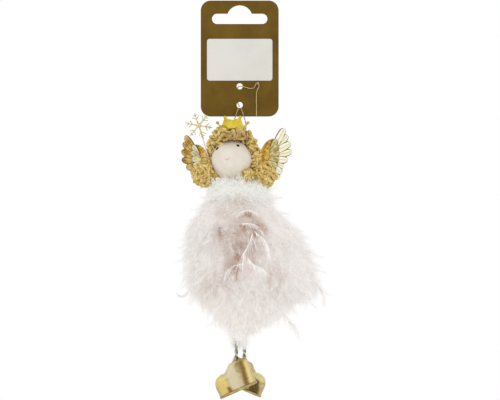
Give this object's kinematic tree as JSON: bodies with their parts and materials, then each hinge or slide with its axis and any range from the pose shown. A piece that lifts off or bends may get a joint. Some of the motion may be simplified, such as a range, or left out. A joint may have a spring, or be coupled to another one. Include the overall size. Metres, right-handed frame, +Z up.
{
  "type": "hanging angel ornament",
  "caption": "Hanging angel figure with a layered feather dress, yarn hair, metal wings, wand, wire legs and boots, tied by a thread to a blank header card with a peg slot.",
  "frame": {"origin": "seat of the display peg: middle of the top edge of the card's slot, in the plane of the card's front face", "axes": "+Z up against the pull of the hanging weight, +X to the viewer's right, +Y away from the viewer; the figure faces -Y"},
  "size_m": [0.0796, 0.0654, 0.2297],
  "materials": {
    "card": "satin",
    "label": "matte",
    "thread": "satin",
    "face": "satin",
    "wood": "matte",
    "stick": "matte",
    "yarn": "matte",
    "crown_gold": "satin",
    "wing_gold": "satin",
    "white_feather": "matte",
    "blush_feather": "matte",
    "wire": "satin",
    "boot_gold": "satin"
  },
  "bodies": {
    "card": {"header_card": "card", "blank_label": "label", "hanger_lead": "thread", "hanger_knot": "thread"},
    "angel": {"hanger_loop": "thread", "head": "face", "neck_peg": "wood", "body_core": "wood", "crown": "crown_gold", "hair_brow": "yarn", "hair_cap": "yarn", "hair_bunch_right": "yarn", "hair_bunch_left": "yarn", "hair_cheek_right": "yarn", "hair_cheek_left": "yarn", "wing_right": "wing_gold", "wing_left": "wing_gold", "wand_stick": "stick", "snowflake": "crown_gold", "collar_feathers": "white_feather", "skirt_top_row": "blush_feather", "skirt_middle_row": "blush_feather", "skirt_bottom_row": "blush_feather", "hip_eye_right": "wire", "hip_eye_left": "wire"},
    "leg_left": {"leg_wire_left": "wire"},
    "leg_right": {"leg_wire_right": "wire"},
    "boot_left": {"boot_upper_left": "boot_gold", "boot_sole_left": "boot_gold", "ankle_pin_left": "wire"},
    "boot_right": {"boot_upper_right": "boot_gold", "boot_sole_right": "boot_gold", "ankle_pin_right": "wire"}
  },
  "joints": [
    {"name": "angel_swing", "type": "hinge", "parent": "card", "child": "angel", "pos_m": [0, -0.0006, -0.05905], "axis": [-1, 0, 0], "range_deg": [0, 60]},
    {"name": "hip_left", "type": "hinge", "parent": "angel", "child": "leg_left", "pos_m": [-0.00199, -0.0057, -0.18677], "axis": [-1, 0, 0], "range_deg": [0, 35]},
    {"name": "ankle_left", "type": "hinge", "parent": "leg_left", "child": "boot_left", "pos_m": [-0.00199, -0.0057, -0.20847], "axis": [0, 1, 0], "range_deg": [-25, 25]},
    {"name": "hip_right", "type": "hinge", "parent": "angel", "child": "leg_right", "pos_m": [0.0027, 0.0049, -0.18642], "axis": [1, 0, 0], "range_deg": [0, 35]},
    {"name": "ankle_right", "type": "hinge", "parent": "leg_right", "child": "boot_right", "pos_m": [0.0027, 0.0049, -0.20812], "axis": [0, 1, 0], "range_deg": [-25, 25]}
  ]
}
